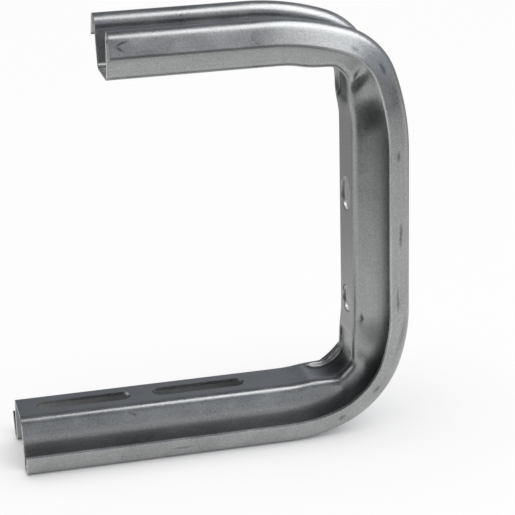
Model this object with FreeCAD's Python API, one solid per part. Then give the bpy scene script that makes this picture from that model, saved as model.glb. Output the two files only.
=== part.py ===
import FreeCAD, Part
import math
import os

# A C-shaped hanger for cable tray, pressed from one length of folded sheet-steel
# channel: a long lower arm, an upright and a shorter upper arm. The channel's web
# looks into the C, and its two walls end in rounded outward folds with flared lips.
# Millimetres, Z up. The origin is under the middle of the part, on the plane that
# the lower folds rest on. The upright is at +X and the mouth of the C is at -X.
# Sections are drawn by y, across the channel, and depth, inward from its outer line.

# Overall sizes, over the outermost faces
BRACKET_HEIGHT = 202.0
LOWER_ARM_LENGTH = 183.0
UPPER_ARM_LENGTH = 135.0

# Channel section
SHEET = 1.5
CHANNEL_DEPTH = 24.0
WEB_WIDTH = 25.0
WEB_CORNER_RADIUS = 4.0
FOLD_WIDTH = 49.6
FOLD_INNER_RADIUS = 3.6
LIP_HEIGHT = 10.6
LIP_FLARE_DEG = 26.0

# Bends: the outer line turns in three arcs, slack ones before and after a tighter one
BEND_LEAD_DEG = 19.0
LOWER_LEAD_RADIUS = 79.0
LOWER_BEND_RADIUS = 49.0
UPPER_LEAD_RADIUS = 116.0
UPPER_BEND_RADIUS = 35.0

# Facet pressed across the inner corner of each bend, and its blends into the web
FACET_LEG = 9.6
FACET_BLEND_RADIUS = 3.0

# Groove pressed across each facet, as by a wheel with sloping sides
WHEEL_RADIUS = 14.0
WHEEL_CENTRE = 34.9
WHEEL_RIM_WIDTH = 6.5
WHEEL_SIDE_WIDTH = 4.3
WHEEL_SIDE_HEIGHT = 6.0

# Slots and holes along the middle line of the web
ARM_SLOT_WIDTH = 9.0
ARM_SLOT_LENGTH = 44.0
ARM_SLOT_END_MARGIN = 9.0
ARM_SLOT_BRIDGE = 10.4
LOWER_ARM_SLOTS = 2
UPPER_ARM_SLOTS = 1
WALL_HOLE_WIDTH = 13.4
LOWER_WALL_HOLE_HEIGHT = 60.3
UPPER_WALL_SLOT_HEIGHT = 112.8
UPPER_WALL_SLOT_STRETCH = 3.4

# Worked out from the sizes above
QUARTER = math.pi / 2
FLARE = math.radians(LIP_FLARE_DEG)
RIGHT_END = LOWER_ARM_LENGTH / 2
LEFT_END = -LOWER_ARM_LENGTH / 2
UPPER_LEFT_END = RIGHT_END - UPPER_ARM_LENGTH
FOLD_OUTER_RADIUS = FOLD_INNER_RADIUS + SHEET
FOLD_CENTRE_Y = FOLD_WIDTH / 2 - FOLD_OUTER_RADIUS
FOLD_DROP = CHANNEL_DEPTH - FOLD_OUTER_RADIUS
FOLD_ASIDE = FOLD_CENTRE_Y - WEB_WIDTH / 2
FOLD_AWAY = math.hypot(FOLD_ASIDE, FOLD_DROP)
WALL_FOOT = 1.5 * FOLD_OUTER_RADIUS
CLEAR = 2 * SHEET

# Slope of each wall, whose visible face runs from the web's edge onto the fold's inner circle
WALL_SLOPE = math.atan2(FOLD_ASIDE, FOLD_DROP) - math.asin(FOLD_INNER_RADIUS / FOLD_AWAY)


def face_y(depth):
    """Half width over the walls' visible faces."""
    return WEB_WIDTH / 2 + (CHANNEL_DEPTH - depth) * math.tan(WALL_SLOPE)


def under_y(depth):
    """Half width between the walls' under faces."""
    return face_y(depth) - SHEET / math.cos(WALL_SLOPE)


def arc_points(centre, radius, start, turn):
    """First, middle and last point of an arc that starts at an angle and turns."""
    angles = (start, start + turn / 2, start + turn)
    return [(centre[0] + radius * math.cos(a), centre[1] + radius * math.sin(a)) for a in angles]


def chain(points):
    """Straight pieces through points, in order."""
    return [[first, second] for first, second in zip(points, points[1:])]


def closed_outline(corners):
    """Straight pieces between corners, and back to the first."""
    return chain(corners + corners[:1])


def mirrored(pieces):
    """The same section on the other side of the channel."""
    return [[(-y, depth) for y, depth in reversed(points)] for points in reversed(pieces)]


def outline_wire(pieces, place):
    """Pieces of two points as lines and of three points as arcs, placed in space."""
    edges = []
    for points in pieces:
        spots = [place(*point) for point in points]
        if len(spots) == 2:
            edges.append(Part.makeLine(spots[0], spots[1]))
        else:
            edges.append(Part.Arc(spots[0], spots[1], spots[2]).toShape())
    return Part.Wire(edges)


def fold_section():
    """Foot of the wall, outward fold and flared lip with a square edge, on the +Y side."""
    fold = (FOLD_CENTRE_Y, FOLD_OUTER_RADIUS)
    turn = math.pi + WALL_SLOPE - FLARE
    inner = arc_points(fold, FOLD_INNER_RADIUS, -math.pi - WALL_SLOPE, turn)
    outer = arc_points(fold, FOLD_OUTER_RADIUS, -math.pi - WALL_SLOPE, turn)
    lip_y = inner[2][0] + (LIP_HEIGHT - inner[2][1]) * math.tan(FLARE)
    lip_face = (lip_y, LIP_HEIGHT)
    lip_under = (lip_y + SHEET * math.cos(FLARE), LIP_HEIGHT - SHEET * math.sin(FLARE))
    foot_face = (face_y(WALL_FOOT), WALL_FOOT)
    foot_under = (under_y(WALL_FOOT), WALL_FOOT)
    visible = [[foot_face, inner[0]], inner, [inner[2], lip_face]]
    under = [[lip_under, outer[2]], list(reversed(outer)), [outer[0], foot_under]]
    return visible + [[lip_face, lip_under]] + under + [[foot_under, foot_face]]


def between_walls(half_width, foot):
    """Filled section between the two walls, from a foot to beyond the web."""
    top = CHANNEL_DEPTH + CLEAR
    corners = [(half_width(foot), foot), (half_width(top), top)]
    return closed_outline(corners + [(-half_width(top), top), (-half_width(foot), foot)])


def bend_arcs(lead_radius, middle_radius):
    """Radius and turn of the three arcs that make one right-angled bend."""
    lead = math.radians(BEND_LEAD_DEG)
    return [(lead_radius, lead), (middle_radius, QUARTER - 2 * lead), (lead_radius, lead)]


LOWER_BEND = bend_arcs(LOWER_LEAD_RADIUS, LOWER_BEND_RADIUS)
UPPER_BEND = bend_arcs(UPPER_LEAD_RADIUS, UPPER_BEND_RADIUS)


def bend_reach(arcs):
    """Distance from the square corner of the outer faces to where the bend starts."""
    reach = 0.0
    heading = 0.0
    for radius, turn in arcs:
        reach += radius * (math.sin(heading + turn) - math.sin(heading))
        heading += turn
    return reach


def outer_runs():
    """The outer line from the lower free end to the upper one: lengths, and radii with their turns."""
    lower = bend_reach(LOWER_BEND)
    upper = bend_reach(UPPER_BEND)
    runs = [(LOWER_ARM_LENGTH - lower, 0.0)] + LOWER_BEND
    runs += [(BRACKET_HEIGHT - lower - upper, 0.0)] + UPPER_BEND
    return runs + [(UPPER_ARM_LENGTH - upper, 0.0)]


def swept(pieces):
    """A section carried along the whole outer line, exactly, run by run."""
    solids = []
    x, z, heading = LEFT_END, 0.0, 0.0
    for size, turn in outer_runs():
        along = FreeCAD.Vector(math.cos(heading), 0, math.sin(heading))
        inward = FreeCAD.Vector(-along.z, 0, along.x)
        start = FreeCAD.Vector(x, 0, z)

        def place(y, depth):
            return start + inward * depth + FreeCAD.Vector(0, y, 0)

        face = Part.Face(outline_wire(pieces, place))
        if turn:
            centre = start + inward * size
            solids.append(face.revolve(centre, FreeCAD.Vector(0, -1, 0), math.degrees(turn)))
            heading += turn
            x = centre.x + size * math.sin(heading)
            z = centre.z - size * math.cos(heading)
        else:
            solids.append(face.extrude(along * size))
            x += size * along.x
            z += size * along.z
    return solids[0].fuse(solids[1:])


def web_lines(inset):
    """Lower arm, facet, upright, facet and upper arm: a point and a heading on each, inset."""
    inner = RIGHT_END - CHANNEL_DEPTH
    upper = BRACKET_HEIGHT - CHANNEL_DEPTH
    lines = [((inner - FACET_LEG, CHANNEL_DEPTH), 0.0), ((inner - FACET_LEG, CHANNEL_DEPTH), QUARTER / 2)]
    lines.append(((inner, CHANNEL_DEPTH + FACET_LEG), QUARTER))
    lines.append(((inner - FACET_LEG, upper), 1.5 * QUARTER))
    lines.append(((inner - FACET_LEG, upper), 2 * QUARTER))
    return [((x + inset * math.sin(a), z - inset * math.cos(a)), a) for (x, z), a in lines]


def crossing(first, second):
    """Where two lines cross, each a point and a heading."""
    (x1, z1), a = first
    (x2, z2), b = second
    along = ((x2 - x1) * math.sin(b) - (z2 - z1) * math.cos(b)) / math.sin(b - a)
    return (x1 + along * math.cos(a), z1 + along * math.sin(a))


def web_outline(inset):
    """The web's line past both free ends, with its corners blended."""
    lines = web_lines(inset)
    pieces = []
    last = (LEFT_END - CLEAR, lines[0][0][1])
    for first, second in zip(lines, lines[1:]):
        vertex = crossing(first, second)
        turn = second[1] - first[1]
        radius = FACET_BLEND_RADIUS + inset
        back = radius * math.tan(turn / 2)
        begin = (vertex[0] - back * math.cos(first[1]), vertex[1] - back * math.sin(first[1]))
        centre = (begin[0] - radius * math.sin(first[1]), begin[1] + radius * math.cos(first[1]))
        arc = arc_points(centre, radius, first[1] - QUARTER, turn)
        pieces += [[last, arc[0]], arc]
        last = arc[2]
    return pieces + [[last, (LEFT_END - CLEAR, last[1])]]


def beyond_web(inset):
    """Solid block on the metal's side of the web's line, wider than the whole channel."""
    pieces = web_outline(inset)
    start, end = pieces[0][0], pieces[-1][1]
    top = BRACKET_HEIGHT + CLEAR
    right = RIGHT_END + CLEAR
    corners = [end, (end[0], top), (right, top), (right, -CLEAR), (start[0], -CLEAR), start]
    pieces += chain(corners)

    def place(x, z):
        return FreeCAD.Vector(x, -FOLD_WIDTH, z)

    face = Part.Face(outline_wire(pieces, place))
    return face.extrude(FreeCAD.Vector(0, 2 * FOLD_WIDTH, 0))


def web_side_edges(block, inset):
    """Edges of a block that follow the web's line along the two walls."""

    def place(x, z):
        return FreeCAD.Vector(x, 0, z)

    line = outline_wire(web_outline(inset), place)
    found = []
    for edge in block.Edges:
        spots = [edge.valueAt(edge.FirstParameter), edge.valueAt(edge.LastParameter)]
        spots.append(edge.valueAt((edge.FirstParameter + edge.LastParameter) / 2))
        aside = min(abs(spot.y) for spot in spots) > WEB_CORNER_RADIUS
        gaps = [line.distToShape(Part.Vertex(spot.x, 0, spot.z))[0] for spot in spots]
        if aside and max(gaps) < SHEET / 100:
            found.append(edge)
    return found


def filled_channel(half_width, foot, inset):
    """Everything between the walls and the web's line."""
    return swept(between_walls(half_width, foot)).common(beyond_web(inset)).removeSplitter()


def wheel(z, grow):
    """The groove's wheel, centred at a height, with its faces grown by a thickness."""
    x = RIGHT_END - WHEEL_CENTRE
    side_angle = math.atan2(WHEEL_SIDE_HEIGHT, WHEEL_SIDE_WIDTH)
    rim = WHEEL_RIM_WIDTH / 2 + grow * math.tan(side_angle / 2)
    side = WHEEL_RIM_WIDTH / 2 + WHEEL_SIDE_WIDTH + grow * math.tan(side_angle / 2)
    low = WHEEL_RADIUS - WHEEL_SIDE_HEIGHT + grow
    corners = [(-side, 0.0), (-side, low), (-rim, WHEEL_RADIUS + grow), (rim, WHEEL_RADIUS + grow)]

    def place(y, radius):
        return FreeCAD.Vector(x + radius, y, z)

    face = Part.Face(outline_wire(closed_outline(corners + [(side, low), (side, 0.0)]), place))
    return face.revolve(FreeCAD.Vector(x, 0, z), FreeCAD.Vector(0, 1, 0), 360)


def web_and_walls():
    """Sheet of the web and the walls, with the pressed facets and grooves."""
    visible = filled_channel(face_y, WALL_FOOT, 0.0)
    visible = visible.makeFillet(WEB_CORNER_RADIUS, web_side_edges(visible, 0.0))
    hollow = filled_channel(under_y, WALL_FOOT - CLEAR, SHEET)
    for z in (WHEEL_CENTRE, BRACKET_HEIGHT - WHEEL_CENTRE):
        visible = visible.cut(wheel(z, 0.0))
        hollow = hollow.cut(wheel(z, SHEET))
    return visible.cut(hollow)


def slot_cutter(centre, along, through, length, width):
    """Round-ended slot through the web, centred at a point."""
    half = (length - width) / 2
    across = through.cross(along)
    start = centre - through * CLEAR
    ends = [start - along * half, start + along * half]
    corners = [ends[0] - across * (width / 2), ends[1] - across * (width / 2)]
    corners += [ends[1] + across * (width / 2), ends[0] + across * (width / 2)]
    first = Part.makeLine(corners[0], corners[1])
    second = Part.Arc(corners[1], ends[1] + along * (width / 2), corners[2]).toShape()
    third = Part.makeLine(corners[2], corners[3])
    last = Part.Arc(corners[3], ends[0] - along * (width / 2), corners[0]).toShape()
    face = Part.Face(Part.Wire([first, second, third, last]))
    return face.extrude(through * (2 * CLEAR))


def arm_slots(free_end, height, count):
    """Slots of one arm, set out from its free end."""
    along = FreeCAD.Vector(1, 0, 0)
    through = FreeCAD.Vector(0, 0, 1)
    cutters = []
    for index in range(count):
        x = free_end + ARM_SLOT_END_MARGIN + ARM_SLOT_LENGTH / 2
        x += index * (ARM_SLOT_LENGTH + ARM_SLOT_BRIDGE)
        centre = FreeCAD.Vector(x, 0, height)
        cutters.append(slot_cutter(centre, along, through, ARM_SLOT_LENGTH, ARM_SLOT_WIDTH))
    return cutters


def wall_holes():
    """A round hole low in the upright and a short upright slot above it, for wall fixings."""
    along = FreeCAD.Vector(0, 0, 1)
    through = FreeCAD.Vector(1, 0, 0)
    web = RIGHT_END - CHANNEL_DEPTH
    start = FreeCAD.Vector(web - CLEAR, 0, LOWER_WALL_HOLE_HEIGHT)
    hole = Part.makeCylinder(WALL_HOLE_WIDTH / 2, 2 * CLEAR, start, through)
    centre = FreeCAD.Vector(web, 0, UPPER_WALL_SLOT_HEIGHT)
    length = WALL_HOLE_WIDTH + UPPER_WALL_SLOT_STRETCH
    return [hole, slot_cutter(centre, along, through, length, WALL_HOLE_WIDTH)]


def bracket():
    """The whole bracket as one folded and pressed sheet."""
    folds = [swept(fold_section()), swept(mirrored(fold_section()))]
    sheet = web_and_walls().fuse(folds).removeSplitter()
    cutters = arm_slots(LEFT_END, CHANNEL_DEPTH, LOWER_ARM_SLOTS)
    cutters += arm_slots(UPPER_LEFT_END, BRACKET_HEIGHT - CHANNEL_DEPTH, UPPER_ARM_SLOTS)
    cutters += wall_holes()
    return sheet.cut(cutters)


def single_solid(shape):
    """The one solid of a shape; more or fewer is an error."""
    if len(shape.Solids) != 1 or not shape.isValid():
        raise ValueError("the sheet did not come out as one sound solid")
    return shape.Solids[0]


os.makedirs("parts", exist_ok=True)
single_solid(bracket()).exportStep("parts/bracket.step")
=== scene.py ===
import math

import bmesh
import bpy
import numpy as np
from mathutils import Matrix, Vector


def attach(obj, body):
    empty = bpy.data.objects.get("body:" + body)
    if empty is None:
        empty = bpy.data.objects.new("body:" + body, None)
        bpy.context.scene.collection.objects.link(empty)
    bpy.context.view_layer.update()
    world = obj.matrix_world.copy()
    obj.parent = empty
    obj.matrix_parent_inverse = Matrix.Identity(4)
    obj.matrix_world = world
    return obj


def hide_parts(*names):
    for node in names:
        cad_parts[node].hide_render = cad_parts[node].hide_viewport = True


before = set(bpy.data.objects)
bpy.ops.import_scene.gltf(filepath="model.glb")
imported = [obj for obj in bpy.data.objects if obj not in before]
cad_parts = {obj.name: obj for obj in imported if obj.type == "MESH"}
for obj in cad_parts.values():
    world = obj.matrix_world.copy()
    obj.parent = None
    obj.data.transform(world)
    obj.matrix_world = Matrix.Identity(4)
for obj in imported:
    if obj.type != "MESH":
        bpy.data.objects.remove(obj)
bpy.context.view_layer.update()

bl_info = {
    "name": "Cable tray bracket",
    "version": (1, 0, 0),
    "blender": (4, 5, 0),
    "location": "3D View > Sidebar > Bracket",
    "description": "Folded and pressed steel bracket with its studio",
    "category": "Object",
}

MM = 0.001
QUARTER = math.pi / 2

# Spacing of the mesh: steps along the outer line in millimetres, and points across each part of
# one half of the section
BEND_STEP = 1.0
STRAIGHT_STEP = 3.0
WEB_POINTS = 27
CORNER_POINTS = 8
WALL_POINTS = 16
FOLD_POINTS = 15
LIP_POINTS = 7
SHARP_ANGLE_DEG = 33

# Pressed corners, in millimetres: how softly the facet, the groove and the two corners blend, how
# the groove's floor falls beside the tread, where the web swells and over what distance it fades
FACET_BLEND = 0.8
GROOVE_BLEND = 0.5
CORNER_BLEND = 0.3
RIM_FALL = 0.95
SWELL_MIDDLE = 34.0
SWELL_HALF_WIDTH = 15.0
SWELL_FADE = 30.0
HALVINGS = 34

# A slot's cutter: height from the middle of a sheet of 1.5 mm, and widening in units of three
# edge roundings
SLOT_LEVELS = (
    (-1.6, 0.9),
    (-0.9, 0.16),
    (-0.75, 0.05),
    (-0.55, 0.0),
    (0.55, 0.0),
    (0.75, 0.05),
    (0.9, 0.16),
    (1.6, 0.9),
)

CAMERA_PLACE = (-0.1588, -0.78565, 0.37649)

# Dents of the walls in a bend: upper or lower, place from the two outer planes, half length,
# half width, turn in degrees, depth. A depth below zero is a knuckle that stands out.
DENTS = (
    (True, 21.4, 31.2, 5.0, 2.3, 60, 1.3),
    (True, 16.5, 43.0, 9.0, 6.5, 78, 1.35),
    (False, 31.5, 21.5, 4.0, 2.6, 60, -0.5),
    (False, 21.0, 33.0, 4.5, 2.6, 70, -0.4),
    (False, 21.3, 54.4, 3.6, 1.2, 80, 0.5),
)

# Scuffs, and painted shade over the pressed grooves and on the near walls in the bends: place along
# and across the rolled sheet, half length, half width, turn in degrees and strength.
SCUFFS_AND_SHADE = (
    (467.8, -42.2, 3.2, 0.7, -25, 0.9),
    (468.8, -44.6, 2.2, 0.8, 35, 0.8),
    (360.3, -43.3, 2.6, 1.2, 0, 0.45),
    (340.3, -41.2, 4.4, 1.1, 6, 0.65),
    (294.9, -44.6, 2.6, 1.0, 0, 0.55),
    (257.0, -43.3, 6.4, 1.0, 2, 0.6),
    (225.5, -45.0, 6.0, 0.8, -2, 0.55),
    (175.3, -39.6, 2.8, 1.2, 12, 0.55),
    (151.5, -42.5, 2.8, 1.1, -8, 0.55),
    (72.0, -43.4, 5.4, 0.7, 0, 0.45),
    (51.7, -15.4, 2.8, 0.5, -24, 0.6),
    (57.2, 0.3, 0.8, 0.5, 0, 0.7),
    (120.2, 3.7, 0.9, 0.5, 0, 0.6),
    (278.0, -3.4, 3.2, 0.5, 0, 0.55),
    (211.3, -14.9, 3.4, 1.0, 3, 0.9),
    (307.4, -18.0, 0.5, 1.4, 0, 0.8),
    (355.0, -30.0, 9.0, 1.6, 4, 0.25),
    (205.0, -41.0, 12.0, 1.4, 2, 0.3),
    # Painted shade: soft dark patches on the near walls in the bends and over both pressed grooves.
    (203.0, -20.0, 9.0, 6.0, 0, 0.4),
    (314.0, -21.0, 8.0, 5.5, 0, 0.45),
    (180.0, -24.0, 15.0, 7.0, 0, 0.3),
    (166.0, 0.0, 17.0, 8.6, 0, 0.75),
    (336.0, 0.0, 18.0, 8.6, 0, 0.75),
)


def linear(code):
    """Colour written as sRGB hex, as linear light: the sRGB curve undone for each channel."""
    channels = []
    for place in (1, 3, 5):
        value = int(code[place : place + 2], 16) / 255
        channels.append(value / 12.92 if value <= 0.04045 else ((value + 0.055) / 1.055) ** 2.4)
    return (*channels, 1.0)


def number(name, description, default, **more):
    """A number that the panels can change."""
    return bpy.props.FloatProperty(name=name, description=description, default=default, **more)


def tone_field(name, description, code):
    """A colour that the panels can change, written as sRGB hex."""
    return bpy.props.FloatVectorProperty(
        name=name, description=description, subtype="COLOR", size=4, default=linear(code)
    )


class SheetSizes(bpy.types.PropertyGroup):
    """Sizes of the folded sheet, in millimetres and degrees."""

    height: number("Height", "Over the outer faces of both arms", 202.0)
    lower_arm: number("Lower arm", "From its free end to the wall", 183.0)
    upper_arm: number("Upper arm", "From its free end to the wall", 135.0)
    sheet: number("Sheet", "Thickness of the steel", 1.5)
    depth: number("Channel depth", "From the folds to the web", 24.0)
    web_width: number("Web width", "Between the walls' faces", 25.0)
    web_corner: number("Web corner", "Outer radius beside the web", 4.0)
    fold_width: number("Fold width", "Over both rounded folds", 49.6)
    fold_radius: number("Fold radius", "Inner radius of the folds", 3.6)
    lip_height: number("Lip height", "From the folds' crown", 11.3)
    lip_flare: number("Lip flare", "Degrees outward", 23.7)
    lead_turn: number("Lead turn", "Degrees turned by a slack arc", 19.0)
    lower_lead: number("Lower lead", "Slack arcs of the lower bend", 79.0)
    lower_bend: number("Lower bend", "Radius of its middle arc", 49.0)
    upper_lead: number("Upper lead", "Slack arcs of the upper bend", 116.0)
    upper_bend: number("Upper bend", "Radius of its middle arc", 35.0)
    facet_leg: number("Facet", "Leg of the pressed inner corner", 9.6)
    crease: number("Crease", "Swelling of the walls at their crease", 0.28)
    crease_share: number("Crease place", "Share of the wall from the web", 0.36)
    edge: number("Edge", "Rounding of the sheared edges", 0.22)


class PressSizes(bpy.types.PropertyGroup):
    """Pressed groove, swelling and slots, in millimetres."""

    wheel_radius: number("Groove radius", "Of the wheel that pressed it", 14.0)
    wheel_centre: number("Groove centre", "From both outer planes", 37.1)
    tread: number("Tread", "Flat width of the wheel", 15.4)
    lower_swell: number("Lower swell", "Of the web beside the lower facet", 1.2)
    upper_swell: number("Upper swell", "Of the web beside the upper facet", 2.0)
    slot_width: number("Slot width", "Of the slots in the arms", 9.0)
    slot_length: number("Slot length", "Of the slots in the arms", 44.0)
    slot_margin: number("Slot margin", "From an arm's free end", 9.0)
    slot_bridge: number("Slot bridge", "Between two slots", 10.4)
    hole_width: number("Hole width", "Of both wall holes", 13.4)
    hole_length: number("Hole length", "Of the upper wall hole", 16.8)
    hole_pitch: number("Hole pitch", "Between the wall holes", 52.5)
    hole_height: number("Hole height", "Of the lower wall hole", 60.3)


class SteelFinish(bpy.types.PropertyGroup):
    """Colour, gloss and small unevenness of the steel."""

    steel: tone_field("Steel", "Dull zinc-coated steel", "#a3a4a4")
    # This grey marks the scuffs, and also paints shade over the pressed grooves and on the near walls in the
    # bends.
    soil_and_shade: tone_field("Soil", "Rubbed-in grey of the scuffs", "#4c4c4e")
    roughness: number("Roughness", "Of the clean coating", 0.33)
    grain: number("Grain", "Size of the coating's grain in mm", 0.8)
    streak: number("Streak", "Width of the rolling streaks in mm", 1.3)
    cloud: number("Cloud", "Size of the soft clouds in mm", 14.0)


class StudioLook(bpy.types.PropertyGroup):
    """Camera, floor and light."""

    floor: tone_field("Floor", "Pale floor", "#f4f4f4")
    lamp: tone_field("Lamp", "White of both soft lamps", "#ffffff")
    room: tone_field("Room", "Cool light of the room", "#eef4ff")
    key: number("Key lamp", "Large soft lamp, right front", 5.0, unit="POWER")
    fill: number("Fill lamp", "Small soft lamp, left front", 0.8, unit="POWER")
    horizon: number("Horizon", "Brightness of the room's walls", 0.66)
    ceiling: number("Ceiling", "Brightness overhead", 0.28)
    glow: number("Glow", "Share of plain white in the floor", 0.97)
    front: number("Front", "Where the lit board ends", -0.365, unit="LENGTH")
    fade: number("Fade", "Share of light left at the back", 0.45)
    reach: number("Reach", "Of the soft contact shadow", 0.1, unit="LENGTH")
    yaw: number("Yaw", "Camera turned right", 0.22913, subtype="ANGLE")
    pitch: number("Pitch", "Camera turned down", 0.34626, subtype="ANGLE")
    roll: number("Roll", "Camera rolled", -0.02783, subtype="ANGLE")
    lens: number("Lens", "Focal length", 129.027, unit="CAMERA")


def bend_arcs(sizes, upper):
    """Radius and turn of the three arcs of the lower or the upper bend."""
    lead = math.radians(sizes.lead_turn)
    slack = sizes.upper_lead if upper else sizes.lower_lead
    middle = sizes.upper_bend if upper else sizes.lower_bend
    return [(slack, lead), (middle, QUARTER - 2 * lead), (slack, lead)]


def bend_reach(sizes, upper):
    """Distance from the square corner to the bend's start: each arc's radius by the change of sine."""
    reach, heading = 0.0, 0.0
    for radius, turn in bend_arcs(sizes, upper):
        reach += radius * (math.sin(heading + turn) - math.sin(heading))
        heading += turn
    return reach


def outer_runs(sizes):
    """Straight lengths and arcs of the outer line, from the lower free end to the upper one."""
    lower = bend_reach(sizes, False)
    upper = bend_reach(sizes, True)
    runs = [(sizes.lower_arm - lower, 0.0)] + bend_arcs(sizes, False)
    runs += [(sizes.height - lower - upper, 0.0)] + bend_arcs(sizes, True)
    return runs + [(sizes.upper_arm - upper, 0.0)]


def outer_line(sizes, run):
    """Points and headings at lengths along the outer line: a line or a circle within each of its runs."""
    x, z, heading, start = -sizes.lower_arm / 2, 0.0, 0.0, 0.0
    px, pz, angle = np.zeros_like(run), np.zeros_like(run), np.zeros_like(run)
    runs = outer_runs(sizes)
    for index, (size, turn) in enumerate(runs):
        length = size * turn if turn else size
        here = run >= start if index == len(runs) - 1 else (run >= start) & (run < start + length)
        along = run[here] - start
        if turn:
            angle[here] = heading + along / size
            px[here] = x + size * (np.sin(angle[here]) - math.sin(heading))
            pz[here] = z - size * (np.cos(angle[here]) - math.cos(heading))
            x += size * (math.sin(heading + turn) - math.sin(heading))
            z -= size * (math.cos(heading + turn) - math.cos(heading))
            heading += turn
        else:
            angle[here] = heading
            px[here] = x + along * math.cos(heading)
            pz[here] = z + along * math.sin(heading)
            x += size * math.cos(heading)
            z += size * math.sin(heading)
        start += length
    return px, pz, angle


def stations(sizes):
    """Lengths along the outer line: close together in the bends and at the free ends."""
    marks, start = [0.0, sizes.edge, 2 * sizes.edge], 0.0
    runs = outer_runs(sizes)
    for size, turn in runs:
        length = size * turn if turn else size
        step = BEND_STEP if turn else STRAIGHT_STEP
        count = max(2, int(round(length / step)))
        marks += [start + length * (index + 1) / count for index in range(count)]
        start += length
    marks = marks[:-1] + [start - 2 * sizes.edge, start - sizes.edge, start]
    return np.array(sorted(marks))


def blend_low(values, reach):
    """Smooth least of several fields: minus the reach times the log of the sum of exponentials."""
    lowest = np.minimum.reduce(values)
    total = sum(np.exp(-(value - lowest) / reach) for value in values)
    return lowest - reach * np.log(total)


def swelling(swell, beside, above):
    """Swelling of the web by its places from the two outer planes: beside the facet, fading away."""
    near = np.exp(-(((beside - SWELL_MIDDLE) / SWELL_HALF_WIDTH) ** 4))
    return swell * near * np.exp(-((np.maximum(above - SWELL_FADE, 0.0) / SWELL_FADE) ** 2))


def open_space(sizes, press, x, y, z):
    """Positive inside the C and in a groove, negative in the metal, about in millimetres."""
    depth = sizes.depth
    p = sizes.lower_arm / 2 - x
    corners = []
    for q, swell in ((z, press.lower_swell), (sizes.height - z, press.upper_swell)):
        gain_q = swelling(swell, p, q)
        gain_p = swelling(swell, q, p)
        facet = (p + q - 2 * depth - sizes.facet_leg) / math.sqrt(2)
        web = blend_low([p - depth - gain_p, q - depth - gain_q, facet], FACET_BLEND)
        along = (q - p) / math.sqrt(2)
        back = math.sqrt(2) * press.wheel_centre - (p + q) / math.sqrt(2)
        rim = press.wheel_radius - RIM_FALL * np.maximum(np.abs(y) - press.tread / 2, 0.0) ** 2
        groove = rim - np.hypot(along, back)
        corners.append(-blend_low([-web, -groove], GROOVE_BLEND))
    return blend_low(corners, CORNER_BLEND)


def web_depth(sizes, press, px, pz, angle, y):
    """Depth of the web below the outer line, found by halving between the fold and the open C."""
    low = np.full(y.shape, 3.0)
    high = np.full(y.shape, sizes.depth + 6.0)
    for _ in range(HALVINGS):
        middle = (low + high) / 2
        x = px[:, None] - middle * np.sin(angle)[:, None]
        z = pz[:, None] + middle * np.cos(angle)[:, None]
        inside = open_space(sizes, press, x, y, z) > 0
        high = np.where(inside, middle, high)
        low = np.where(inside, low, middle)
    return (low + high) / 2


def dented(sizes, px, pz, angle, d):
    """Depth of the walls' dents, and below zero of their knuckles: a bell over a turned ellipse each."""
    p = sizes.lower_arm / 2 - (px[:, None] - d * np.sin(angle)[:, None])
    z = pz[:, None] + d * np.cos(angle)[:, None]
    total = np.zeros_like(d)
    for upper, at_p, at_q, long, wide, turn, deep in DENTS:
        q = sizes.height - z if upper else z
        along = (p - at_p) * math.cos(math.radians(turn)) + (q - at_q) * math.sin(math.radians(turn))
        aside = (q - at_q) * math.cos(math.radians(turn)) - (p - at_p) * math.sin(math.radians(turn))
        total += deep * np.exp(-((along / long) ** 2) - (aside / wide) ** 2)
    return total


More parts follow.
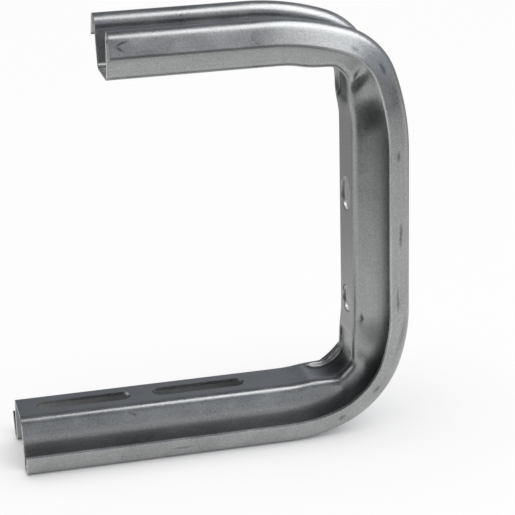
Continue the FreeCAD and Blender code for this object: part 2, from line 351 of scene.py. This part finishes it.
def half_section(sizes, press, px, pz, angle):
    """Face of the sheet on one side, as y and depth for every station.

    The web is a height field. Its corner is a circle. The wall is a line that touches the fold's
    circle, swollen a little at its crease, and the lip a straight flare from there to its cut edge.
    """
    depth = sizes.depth
    fold_y = sizes.fold_width / 2 - sizes.fold_radius - sizes.sheet
    fold_d = sizes.fold_radius + sizes.sheet
    aside, drop = fold_y - sizes.web_width / 2, depth - fold_d
    slope = math.atan2(aside, drop) - math.asin(sizes.fold_radius / math.hypot(aside, drop))
    flare = math.radians(sizes.lip_flare)
    edge_y = np.full((len(px), 1), sizes.web_width / 2)
    web_edge = web_depth(sizes, press, px, pz, angle, edge_y)[:, 0]
    corner_d = web_edge - sizes.web_corner
    corner_y = sizes.web_width / 2 + (depth - corner_d) * math.tan(slope)
    corner_y = corner_y - sizes.web_corner / math.cos(slope)

    web_y = corner_y[:, None] * np.linspace(0, 1, WEB_POINTS)[None, :]
    web_d = web_depth(sizes, press, px, pz, angle, web_y)
    turn = np.linspace(0, 1, CORNER_POINTS)[1:] * (QUARTER - slope)
    arc_y = corner_y[:, None] + sizes.web_corner * np.sin(turn)[None, :]
    arc_d = corner_d[:, None] + sizes.web_corner * np.cos(turn)[None, :]
    touch_y = fold_y - sizes.fold_radius * math.cos(slope)
    touch_d = fold_d + sizes.fold_radius * math.sin(slope)
    share = np.linspace(0, 1, WALL_POINTS)[1:]
    wall_y = arc_y[:, -1:] * (1 - share) + touch_y * share
    wall_d = arc_d[:, -1:] * (1 - share) + touch_d * share
    straight = np.cos(2 * angle)[:, None] ** 2
    from_web, from_fold = share / sizes.crease_share, (1 - share) / (1 - sizes.crease_share)
    bend = np.maximum(blend_low([from_web, from_fold], 0.05), 0.0)
    wall_y = wall_y + sizes.crease * bend * straight
    side_y, side_d = np.hstack([arc_y, wall_y]), np.hstack([arc_d, wall_d])
    full = np.append(np.sin(turn), np.minimum(1.0, 4 * (1 - share)))
    side_y = side_y - full * dented(sizes, px, pz, angle, side_d)

    sweep = np.linspace(0, 1, FOLD_POINTS)[1:] * (math.pi + slope - flare)
    ring = sweep - math.pi - slope
    fold_ring_y = fold_y + sizes.fold_radius * np.cos(ring)
    fold_ring_d = fold_d + sizes.fold_radius * np.sin(ring)

    end_y = fold_ring_y[-1] + (sizes.lip_height - fold_ring_d[-1]) * math.tan(flare)
    near = sizes.edge / math.hypot(end_y - fold_ring_y[-1], sizes.lip_height - fold_ring_d[-1])
    lip = np.append(np.linspace(0, 1 - 2 * near, LIP_POINTS)[1:], [1 - near, 1.0])
    tail_y = np.append(fold_ring_y, fold_ring_y[-1] * (1 - lip) + end_y * lip)
    tail_d = np.append(fold_ring_d, fold_ring_d[-1] * (1 - lip) + sizes.lip_height * lip)
    rows = len(px)
    y = np.hstack([web_y, side_y, np.tile(tail_y, (rows, 1))])
    d = np.hstack([web_d, side_d, np.tile(tail_d, (rows, 1))])
    return y, d


def sheet_points(sizes, press):
    """Face points of the whole sheet and their normals towards the under side.

    With them come the lengths along and across the sheet, and the distances to the nearest lip's
    edge and to the nearest free end.
    """
    run = stations(sizes)
    px, pz, angle = outer_line(sizes, run)
    y, d = half_section(sizes, press, px, pz, angle)
    y = np.hstack([-y[:, :0:-1], y])
    d = np.hstack([d[:, :0:-1], d])
    x = px[:, None] - d * np.sin(angle)[:, None]
    z = pz[:, None] + d * np.cos(angle)[:, None]
    face = np.stack([x, y, z], axis=2)
    along = np.gradient(face, axis=0)
    across = np.gradient(face, axis=1)
    normal = np.cross(across, along)
    normal /= np.linalg.norm(normal, axis=2, keepdims=True)
    width = np.linalg.norm(np.diff(face, axis=1), axis=2).cumsum(axis=1)
    width = np.hstack([np.zeros((len(run), 1)), width])
    along = np.repeat(run[:, None], width.shape[1], axis=1)
    near = np.stack([np.minimum(width, width[:, -1:] - width), np.minimum(along, run[-1] - along)], axis=2)
    width -= width[:, width.shape[1] // 2][:, None]
    return face, normal, np.stack([along, width], axis=2), near


def sheet_mesh(sizes, press, name):
    """Closed mesh of the sheet: both its faces, and its sheared edges, which are slightly rounded."""
    face, normal, rolled, sheared = sheet_points(sizes, press)
    rows, cols = face.shape[:2]
    half = np.full((rows, cols), sizes.sheet / 2)
    half[[0, -1], :] -= sizes.edge
    half[:, [0, -1]] = sizes.sheet / 2 - sizes.edge
    middle = face + normal * sizes.sheet / 2
    front = middle - normal * half[:, :, None]
    back = middle + normal * half[:, :, None]
    points = np.concatenate([front.reshape(-1, 3), back.reshape(-1, 3)]) * MM
    index = np.arange(rows * cols).reshape(rows, cols)
    a, b, c, e = index[:-1, :-1], index[:-1, 1:], index[1:, 1:], index[1:, :-1]
    front_faces = np.stack([a, b, c, e], axis=2).reshape(-1, 4)
    under = rows * cols
    back_faces = np.stack([a, e, c, b], axis=2).reshape(-1, 4) + under
    rim = np.concatenate([index[0, :], index[1:, -1], index[-1, -2::-1], index[-2:0:-1, 0]])
    follow = np.roll(rim, -1)
    rim_faces = np.stack([rim, rim + under, follow + under, follow], axis=1)
    faces = np.concatenate([front_faces, back_faces, rim_faces])
    mesh = bpy.data.meshes.new(name)
    mesh.from_pydata(points, [], faces.tolist())
    corner = np.zeros(len(mesh.loops), dtype=np.int32)
    mesh.loops.foreach_get("vertex_index", corner)
    for title, lengths in (("rolled", rolled), ("sheared", sheared)):
        own = np.concatenate([lengths.reshape(-1, 2)] * 2) * MM
        mesh.uv_layers.new(name=title).data.foreach_set("uv", own[corner].astype(np.float32).ravel())
    return mesh


def outward(mesh):
    """Turns all faces outwards, as the enclosed volume tells, and reports a mesh that is not closed."""
    work = bmesh.new()
    work.from_mesh(mesh)
    if any(len(edge.link_faces) != 2 for edge in work.edges):
        work.free()
        raise RuntimeError(mesh.name + " is not closed")
    bmesh.ops.recalc_face_normals(work, faces=work.faces)
    if work.calc_volume(signed=True) < 0:
        bmesh.ops.reverse_faces(work, faces=work.faces)
    work.to_mesh(mesh)
    work.free()


def slot_mesh(name, centre, along, through, length, width, sheet, edge):
    """Cutter of a slot: a stadium outline, carried through the sheet and flared at both faces."""
    turn = np.linspace(-QUARTER, QUARTER, 21)
    if length <= width:
        turn = turn[:-1]
    ends = np.concatenate([turn, turn + math.pi])
    side = np.repeat([1.0, -1.0], len(turn)) * (length - width) / 2
    across = np.cross(through, along)
    rings = []
    for height, grow in SLOT_LEVELS:
        radius = width / 2 + grow * edge * 3
        ring = (side + radius * np.cos(ends))[:, None] * along
        ring = ring + (radius * np.sin(ends))[:, None] * across
        rings.append(centre + ring + through * (height * sheet / 1.5 - sheet / 2))
    count = len(ends)
    points = np.concatenate(rings) * MM
    faces = []
    first = np.arange(count)
    step = np.roll(first, -1)
    band = np.stack([first, step, step + count, first + count], axis=1)
    for level in range(len(SLOT_LEVELS) - 1):
        faces += (band + level * count).tolist()
    faces.append(list(range(count))[::-1])
    faces.append(list(range((len(SLOT_LEVELS) - 1) * count, len(SLOT_LEVELS) * count)))
    mesh = bpy.data.meshes.new(name)
    mesh.from_pydata(points, [], faces)
    outward(mesh)
    return mesh


def all_slots(sizes, press):
    """Every slot and hole as its middle, direction, outward way, length and width."""
    right = sizes.lower_arm / 2
    found = []
    size = (press.slot_length, press.slot_width)
    pitch = press.slot_length + press.slot_bridge
    for index in range(2):
        x = -right + press.slot_margin + press.slot_length / 2 + index * pitch
        found.append(((x, 0, sizes.depth), (1, 0, 0), (0, 0, 1), *size))
    x = right - sizes.upper_arm + press.slot_margin + press.slot_length / 2
    found.append(((x, 0, sizes.height - sizes.depth), (1, 0, 0), (0, 0, -1), *size))
    for index in range(2):
        z = press.hole_height + index * press.hole_pitch
        length = press.hole_length if index else press.hole_width
        found.append(((right - sizes.depth, 0, z), (0, 0, 1), (-1, 0, 0), length, press.hole_width))
    return found


def cut_slots(mesh, sizes, press):
    """The sheet with its slots punched out, as a new plain mesh."""
    work = bpy.data.objects.new("work_sheet", mesh)
    bpy.context.collection.objects.link(work)
    helpers = []
    for centre, along, through, length, width in all_slots(sizes, press):
        vectors = [np.array(value, dtype=float) for value in (centre, along, through)]
        cutter = slot_mesh("work_slot", *vectors, length, width, sizes.sheet, sizes.edge)
        helper = bpy.data.objects.new("work_slot", cutter)
        bpy.context.collection.objects.link(helper)
        helpers.append(helper)
        modifier = work.modifiers.new("slot", "BOOLEAN")
        modifier.operation = "DIFFERENCE"
        modifier.solver = "EXACT"
        modifier.object = helper
    bpy.context.view_layer.update()
    punched = work.evaluated_get(bpy.context.evaluated_depsgraph_get())
    result = bpy.data.meshes.new_from_object(punched)
    for helper in helpers:
        cutter = helper.data
        bpy.data.objects.remove(helper)
        bpy.data.meshes.remove(cutter)
    bpy.data.objects.remove(work)
    return result


def node(tree, kind, settings=None, **links):
    """Adds one node; settings are its own properties, links its inputs as values or as sockets."""
    made = tree.nodes.new(kind)
    for key, value in (settings or {}).items():
        setattr(made, key, value)
    for key, value in links.items():
        numbered = key[0] == "i" and key[1:].isdigit()
        socket = made.inputs[int(key[1:]) if numbered else key.replace("_", " ")]
        if isinstance(value, bpy.types.NodeSocket):
            tree.links.new(value, socket)
        else:
            socket.default_value = value
    return made


def fresh_material(name):
    """A material without nodes, and its tree."""
    material = bpy.data.materials.new(name)
    material.use_nodes = True
    material.node_tree.nodes.clear()
    return material, material.node_tree


def spread(tree, value, low, high, out_low, out_high):
    """Maps a range of values to another, clamped."""
    made = node(tree, "ShaderNodeMapRange", Value=value)
    ends = {"From Min": low, "From Max": high, "To Min": out_low, "To Max": out_high}
    for name, end in ends.items():
        made.inputs[name].default_value = end
    return made.outputs[0]


def arithmetic(tree, operation, first, second):
    """One sum on two values or sockets."""
    return node(tree, "ShaderNodeMath", {"operation": operation}, i0=first, i1=second).outputs[0]


def noise(tree, vector, size, detail, roughness=0.5):
    """Even noise whose lumps are about a size in millimetres, on coordinates in metres."""
    scale = 1 / (size * MM)
    made = node(tree, "ShaderNodeTexNoise", Vector=vector, Scale=scale, Detail=detail, Roughness=roughness)
    return made.outputs["Fac"]


def scuffs_and_shade(tree, rolled, to_edge, ragged):
    """Share of darker grey: ragged ellipses for scuffs and for painted shade in the bends, and a thin line
    beside the upper lips' edges.
    """
    shift = node(tree, "ShaderNodeVectorMath", {"operation": "SCALE"}, i0=ragged, Scale=2.4 * MM)
    added = node(tree, "ShaderNodeVectorMath", {"operation": "ADD"}, i0=rolled, i1=shift.outputs[0])
    total = 0.0
    for along, across, long, wide, turn, strength in SCUFFS_AND_SHADE:
        place = ((along + 1.2) * MM, (across + 1.2) * MM, 1.2 * MM)
        oval = node(
            tree,
            "ShaderNodeMapping",
            {"vector_type": "TEXTURE"},
            Vector=added.outputs[0],
            Location=place,
            Rotation=(0.0, 0.0, math.radians(turn)),
            Scale=(long * MM, wide * MM, 0.02),
        )
        far = node(tree, "ShaderNodeVectorMath", {"operation": "LENGTH"}, i0=oval.outputs[0])
        mark = spread(tree, far.outputs["Value"], 0.35, 1.25, strength, 0.0)
        total = arithmetic(tree, "MAXIMUM", total, mark)
    # A thin darker line beside the upper lips' edges, over the upper arm.
    run = node(tree, "ShaderNodeSeparateXYZ", i0=rolled).outputs["X"]
    upper = spread(tree, run, 330 * MM, 380 * MM, 0.0, 0.8)
    line = spread(tree, to_edge, 0.7 * MM, 1.4 * MM, 1.0, 0.0)
    return arithmetic(tree, "MAXIMUM", total, arithmetic(tree, "MULTIPLY", line, upper))


def zinc_coated_steel(finish):
    """Thin dull zinc coating on cold-rolled sheet, with its fine grain, rolling streaks and clouds.

    The grain of the real coating is finer than can be seen; it is drawn about 0.8 mm wide.
    """
    material, tree = fresh_material("Dull zinc coated sheet steel")
    place = node(tree, "ShaderNodeTexCoord").outputs["Object"]
    rolled = node(tree, "ShaderNodeUVMap", {"uv_map": "rolled"}).outputs["UV"]
    drawn = node(tree, "ShaderNodeMapping", Vector=rolled, Scale=(0.03, 1.0, 1.0)).outputs[0]
    grain = noise(tree, place, finish.grain, 2.0, 0.6)
    streak = noise(tree, drawn, finish.streak, 3.0, 0.6)
    cloud = noise(tree, place, finish.cloud, 2.0)
    tone = spread(tree, grain, 0.25, 0.75, 0.78, 1.22)
    tone = arithmetic(tree, "MULTIPLY", tone, spread(tree, streak, 0.3, 0.7, 0.95, 1.05))
    tone = arithmetic(tree, "MULTIPLY", tone, spread(tree, cloud, 0.3, 0.7, 0.9, 1.1))
    sheared = node(tree, "ShaderNodeUVMap", {"uv_map": "sheared"}).outputs["UV"]
    split = node(tree, "ShaderNodeSeparateXYZ", i0=sheared)
    nearest = arithmetic(tree, "MINIMUM", split.outputs["X"], split.outputs["Y"])
    # Painted highlight: the base colour is up to half again brighter within half a millimetre of the sheared
    # edges.
    edge_highlight = spread(tree, nearest, 0.15 * MM, 0.5 * MM, 1.5, 1.0)
    tone = arithmetic(tree, "MULTIPLY", tone, edge_highlight)
    clean = node(tree, "ShaderNodeVectorMath", {"operation": "SCALE"}, i0=tuple(finish.steel)[:3])
    tree.links.new(tone, clean.inputs["Scale"])
    # Darker grey for the scuffs and for painted shade in the bends.
    soiled_and_shaded = scuffs_and_shade(tree, rolled, split.outputs["X"], noise(tree, place, 2.2, 3.0, 0.65))
    colour = node(tree, "ShaderNodeMix", {"data_type": "RGBA"}, i0=soiled_and_shaded, i7=tuple(finish.soil_and_shade))
    tree.links.new(clean.outputs[0], colour.inputs[6])
    rough = spread(tree, cloud, 0.3, 0.7, finish.roughness - 0.05, finish.roughness + 0.05)
    rough = arithmetic(tree, "ADD", rough, spread(tree, grain, 0.3, 0.7, -0.03, 0.03))
    rough = arithmetic(tree, "ADD", rough, arithmetic(tree, "MULTIPLY", soiled_and_shaded, 0.12))
    bump = node(tree, "ShaderNodeBump", Height=grain, Strength=0.6, Distance=0.03 * MM)
    shader = node(tree, "ShaderNodeBsdfPrincipled", Metallic=1.0, Normal=bump.outputs[0])
    tree.links.new(colour.outputs[2], shader.inputs["Base Color"])
    tree.links.new(rough, shader.inputs["Roughness"])
    node(tree, "ShaderNodeOutputMaterial", Surface=shader.outputs[0])
    return material


def seen_rays(tree):
    """One for rays from the camera and for rays that a gloss or a glass sends on."""
    path = node(tree, "ShaderNodeLightPath")
    both = arithmetic(tree, "MAXIMUM", path.outputs["Is Camera Ray"], path.outputs["Is Glossy Ray"])
    return arithmetic(tree, "MAXIMUM", both, path.outputs["Is Transmission Ray"])


def matt_floor(look):
    """Matt white board: it takes a soft shadow, and shows near white to the camera and in a gloss.

    In a gloss the board shows painted light, a glow standing in for the lamp's pool: bright near the bracket,
    greyer behind it, and dark in front of where the lit board ends.
    """
    material, tree = fresh_material("Matt white board")
    board = node(tree, "ShaderNodeBsdfDiffuse", Color=tuple(look.floor))
    place = node(tree, "ShaderNodeSeparateXYZ", i0=node(tree, "ShaderNodeTexCoord").outputs["Object"])
    # Painted light: in a gloss the board glows as if lit, fading behind the bracket and going dark in front
    # of the board's edge.
    back = spread(tree, place.outputs["Y"], 0.0, 0.28, 1.0, look.fade)
    ahead = spread(tree, place.outputs["Y"], look.front - 0.04, look.front + 0.04, 0.04, 1.0)
    lit = arithmetic(tree, "MULTIPLY", back, ahead)
    strength = arithmetic(tree, "MAXIMUM", lit, node(tree, "ShaderNodeLightPath").outputs["Is Camera Ray"])
    white = node(tree, "ShaderNodeEmission", Color=(1, 1, 1, 1), Strength=strength)
    shade = node(tree, "ShaderNodeAmbientOcclusion", {"samples": 8}, Distance=look.reach).outputs["AO"]
    share = arithmetic(tree, "MULTIPLY", seen_rays(tree), look.glow)
    share = arithmetic(tree, "MULTIPLY", share, shade)
    mixed = node(tree, "ShaderNodeMixShader", i0=share, i1=board.outputs[0], i2=white.outputs[0])
    node(tree, "ShaderNodeOutputMaterial", Surface=mixed.outputs[0])
    return material


def soft_room(look):
    """Surroundings: pale walls, white where the camera sees them.

    They darken to a dim ceiling, to the left, and low down at the back.
    """
    world = bpy.data.worlds.new("Soft room")
    world.use_nodes = True
    tree = world.node_tree
    tree.nodes.clear()
    way = node(tree, "ShaderNodeSeparateXYZ", i0=node(tree, "ShaderNodeTexCoord").outputs["Generated"])
    level = spread(tree, way.outputs["Z"], 0.0, 0.6, look.horizon, look.ceiling)
    level = arithmetic(tree, "MULTIPLY", level, spread(tree, way.outputs["X"], -0.35, 0.35, 0.2, 1.15))
    low = spread(tree, way.outputs["Z"], 0.0, 0.3, 0.4, 1.0)
    ahead = spread(tree, way.outputs["Y"], -0.2, 0.2, 1.0, 0.0)
    level = arithmetic(tree, "MULTIPLY", level, arithmetic(tree, "MAXIMUM", low, ahead))
    seen = node(tree, "ShaderNodeLightPath").outputs["Is Camera Ray"]
    strength = arithmetic(tree, "MAXIMUM", level, seen)
    sky = node(tree, "ShaderNodeBackground", Strength=strength)
    tint = node(tree, "ShaderNodeMix", {"data_type": "RGBA"}, i0=seen, i6=tuple(look.room), i7=(1, 1, 1, 1))
    tree.links.new(tint.outputs[2], sky.inputs["Color"])
    node(tree, "ShaderNodeOutputWorld", Surface=sky.outputs[0])
    return world


class BRACKET_OT_sheet(bpy.types.Operator):
    """Builds the folded steel sheet and puts it in place of the plain one"""

    bl_idname = "bracket.sheet"
    bl_label = "Folded sheet"

    def execute(self, context):
        scene = context.scene
        plain = sheet_mesh(scene.bracket_sheet, scene.bracket_press, "folded_sheet")
        outward(plain)
        mesh = cut_slots(plain, scene.bracket_sheet, scene.bracket_press)
        bpy.data.meshes.remove(plain)
        mesh.name = "folded_sheet"
        mesh.shade_smooth()
        mesh.set_sharp_from_angle(angle=math.radians(SHARP_ANGLE_DEG))
        piece = bpy.data.objects.new("folded_sheet", mesh)
        context.collection.objects.link(piece)
        mesh.materials.clear()
        mesh.materials.append(zinc_coated_steel(scene.bracket_finish))
        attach(piece, "root")
        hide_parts("bracket")
        return {"FINISHED"}


def area_lamp(name, place, target, size, power, colour):
    """Rectangular soft lamp, turned to a target."""
    data = bpy.data.lights.new(name, "AREA")
    data.shape = "RECTANGLE"
    data.size, data.size_y = size
    data.energy = power
    data.color = colour
    lamp = bpy.data.objects.new(name, data)
    lamp.location = place
    lamp.rotation_euler = (Vector(target) - Vector(place)).to_track_quat("-Z", "Y").to_euler()
    bpy.context.collection.objects.link(lamp)
    return lamp


class BRACKET_OT_studio(bpy.types.Operator):
    """Puts the floor, the lamps, the surroundings and the camera round the bracket"""

    bl_idname = "bracket.studio"
    bl_label = "Studio"

    def execute(self, context):
        look = context.scene.bracket_look
        mesh = bpy.data.meshes.new("floor")
        mesh.from_pydata([(-9, -9, 0), (9, -9, 0), (9, 9, 0), (-9, 9, 0)], [], [(0, 1, 2, 3)])
        mesh.materials.append(matt_floor(look))
        floor = bpy.data.objects.new("floor", mesh)
        context.collection.objects.link(floor)

        context.scene.world = soft_room(look)
        white = tuple(look.lamp)[:3]
        area_lamp("soft_key", (0.41, -0.29, 0.80), (0.0, 0.0, 0.1), (0.70, 0.80), look.key, white)
        area_lamp("soft_fill", (-0.62, -0.49, 0.60), (0.06, 0.0, 0.03), (0.40, 0.40), look.fill, white)

        camera = bpy.data.objects.new("camera", bpy.data.cameras.new("camera"))
        context.collection.objects.link(camera)
        camera.data.sensor_width = 36.0
        camera.data.lens = look.lens
        camera.data.clip_start = 0.01
        camera.data.clip_end = 50
        yaw, pitch, roll = look.yaw, look.pitch, look.roll
        level = math.cos(pitch)
        ahead = Vector((math.sin(yaw) * level, math.cos(yaw) * level, -math.sin(pitch)))
        right = Vector((math.cos(yaw), -math.sin(yaw), 0))
        up = right.cross(ahead)
        turned = right * math.cos(roll) + up * math.sin(roll)
        upright = up * math.cos(roll) - right * math.sin(roll)
        turn = Matrix((turned, upright, -ahead)).transposed()
        camera.matrix_world = Matrix.Translation(CAMERA_PLACE) @ turn.to_4x4()
        context.scene.camera = camera
        context.scene.view_settings.view_transform = "Standard"
        return {"FINISHED"}


class BRACKET_PT_panel(bpy.types.Panel):
    """Bracket pieces and studio"""

    bl_idname = "BRACKET_PT_panel"
    bl_label = "Bracket"
    bl_space_type = "VIEW_3D"
    bl_region_type = "UI"
    bl_category = "Bracket"

    def draw(self, context):
        for step in STEPS:
            self.layout.operator(step)


CLASSES = (
    SheetSizes,
    PressSizes,
    SteelFinish,
    StudioLook,
    BRACKET_OT_sheet,
    BRACKET_OT_studio,
    BRACKET_PT_panel,
)
STEPS = ("bracket.sheet", "bracket.studio")


def register():
    for item in CLASSES:
        bpy.utils.register_class(item)
    bpy.types.Scene.bracket_sheet = bpy.props.PointerProperty(type=SheetSizes)
    bpy.types.Scene.bracket_press = bpy.props.PointerProperty(type=PressSizes)
    bpy.types.Scene.bracket_finish = bpy.props.PointerProperty(type=SteelFinish)
    bpy.types.Scene.bracket_look = bpy.props.PointerProperty(type=StudioLook)


def unregister():
    del bpy.types.Scene.bracket_look
    del bpy.types.Scene.bracket_finish
    del bpy.types.Scene.bracket_press
    del bpy.types.Scene.bracket_sheet
    for item in reversed(CLASSES):
        bpy.utils.unregister_class(item)


def main():
    register()
    bpy.ops.bracket.sheet()
    bpy.ops.bracket.studio()


if __name__ == "__main__":
    main()
